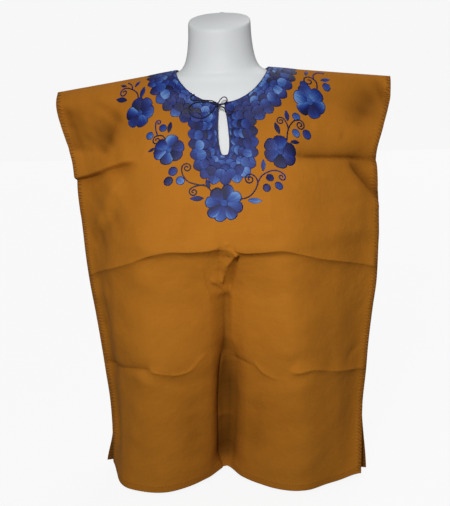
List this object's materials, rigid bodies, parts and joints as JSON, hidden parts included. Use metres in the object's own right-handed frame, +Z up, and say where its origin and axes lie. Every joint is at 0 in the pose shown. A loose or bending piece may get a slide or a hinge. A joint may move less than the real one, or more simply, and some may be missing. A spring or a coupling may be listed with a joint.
{
  "type": "embroidered blouse on dress form",
  "caption": "Boxy poplin blouse with open armholes, tied keyhole neck and side slits, worn by a limbless torso dress form.",
  "frame": {"origin": "on the floor, in the flat foot of the dress form, below the neck", "axes": "+Z up, -Y the way the front of the blouse faces, +X the viewer's right"},
  "size_m": [0.5637, 0.2648, 0.7962],
  "materials": {
    "poplin": "mustard cotton poplin, plain weave, low sheen",
    "binding": "navy cotton binding with close blue stitching",
    "tie_cord": "navy twisted cord",
    "form_plastic": "smooth white moulded plastic, satin gloss"
  },
  "bodies": {
    "root": {"front": "poplin", "back": "poplin", "neck_binding": "binding", "tie_knot": "tie_cord", "tie_bridge": "tie_cord", "tie_loop_left": "tie_cord", "tie_loop_right": "tie_cord", "tie_end_left": "tie_cord", "tie_end_right": "tie_cord", "dress_form": "form_plastic"}
  },
  "joints": []
}
